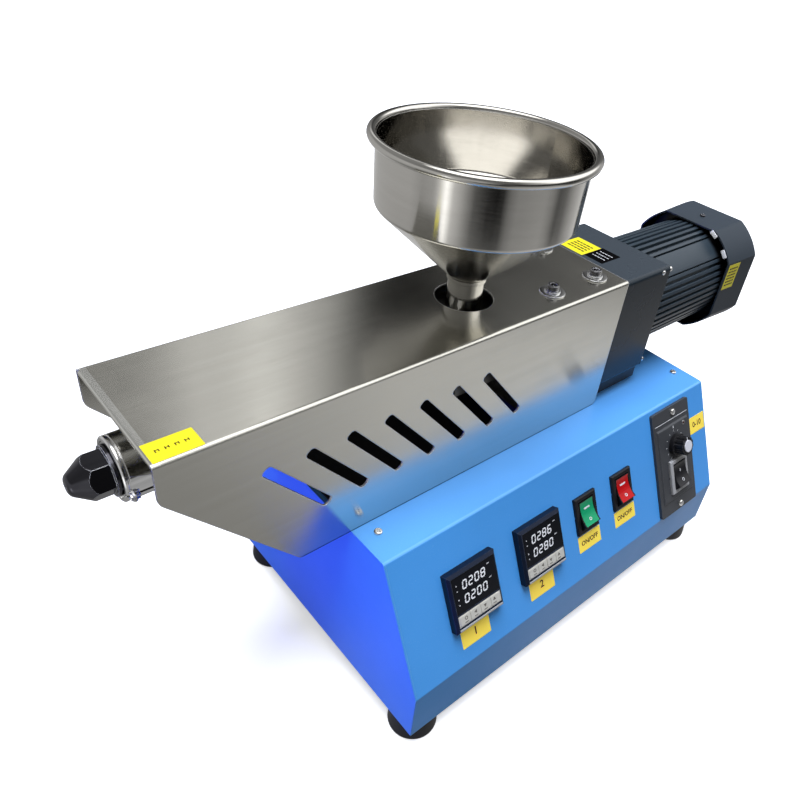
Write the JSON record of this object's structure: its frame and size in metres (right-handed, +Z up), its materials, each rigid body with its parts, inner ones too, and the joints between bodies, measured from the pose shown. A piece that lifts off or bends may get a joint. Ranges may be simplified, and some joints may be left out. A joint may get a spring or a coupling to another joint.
{
  "type": "desktop plastic extruder",
  "caption": "Desktop plastic extruder: blue sheet metal cabinet with a sloped control panel, covered barrel with a hex nozzle, round feed hopper and finned gear motor.",
  "frame": {"origin": "middle of the machine's length and depth at the bottom of the feet", "axes": "+X from the nozzle towards the motor, +Y from the control panel to the back, +Z up"},
  "size_m": [0.6398, 0.2572, 0.4115],
  "materials": {
    "blue_paint": "semi-gloss powder coat",
    "black_rubber": "moulded rubber",
    "black_steel": "black paint",
    "slate_paint": "satin slate grey paint",
    "black_mat": "woven glass mat",
    "machined_steel": "machined steel",
    "band_chrome": "polished chrome",
    "black_oxide": "glossy black oxide",
    "stainless": "fine brushed stainless",
    "polished_stainless": "polished spun stainless",
    "case_plastic": "fine satin",
    "display_window": "dark window",
    "key_plastic": "matte",
    "switch_plastic": "moulded",
    "green_lens": "tinted moulding",
    "red_lens": "tinted moulding",
    "plate_grey": "fine texture",
    "frame_grey": "satin",
    "knob_plastic": "satin",
    "cap_aluminium": "turned"
  },
  "bodies": {
    "machine": {"cabinet_hood": "blue_paint", "left_side_panel": "blue_paint", "right_side_panel": "blue_paint", "floor_plate": "blue_paint", "rubber_feet": "black_rubber", "mounting_plate": "black_steel", "gearbox": "slate_paint", "motor_body": "slate_paint", "fan_cover": "slate_paint", "thrust_block": "machined_steel", "feed_block": "machined_steel", "barrel": "machined_steel", "front_heater_band": "band_chrome", "rear_heater_band": "band_chrome", "nozzle": "black_oxide", "barrel_cover": "stainless", "feed_hopper": "polished_stainless", "hopper_neck": "polished_stainless", "insulation_mat": "black_mat", "left_controller_case": "case_plastic", "left_controller_display": "display_window", "left_controller_keys": "key_plastic", "right_controller_case": "case_plastic", "right_controller_display": "display_window", "right_controller_keys": "key_plastic", "green_switch_frame": "switch_plastic", "red_switch_frame": "switch_plastic", "speed_plate": "plate_grey", "run_switch_frame": "frame_grey", "cord_grommet": "black_rubber"},
    "green_rocker": {"green_rocker": "green_lens"},
    "red_rocker": {"red_rocker": "red_lens"},
    "run_rocker": {"run_rocker": "switch_plastic"},
    "speed_knob": {"speed_knob": "knob_plastic", "knob_cap": "cap_aluminium"}
  },
  "joints": [
    {"name": "green_rocker_tilt", "type": "hinge", "parent": "machine", "child": "green_rocker", "pos_m": [0.0358, -0.10061, 0.12035], "axis": [1, 0, 0], "range_deg": [0, 26]},
    {"name": "red_rocker_tilt", "type": "hinge", "parent": "machine", "child": "red_rocker", "pos_m": [0.08578, -0.10061, 0.12035], "axis": [1, 0, 0], "range_deg": [0, 26]},
    {"name": "run_rocker_tilt", "type": "hinge", "parent": "machine", "child": "run_rocker", "pos_m": [0.16708, -0.11271, 0.1053], "axis": [1, 0, 0], "range_deg": [0, 26]},
    {"name": "speed_knob_turn", "type": "hinge", "parent": "machine", "child": "speed_knob", "pos_m": [0.16708, -0.10024, 0.13359], "axis": [0, -0.9015, 0.4329], "range_deg": [-150, 150]}
  ]
}
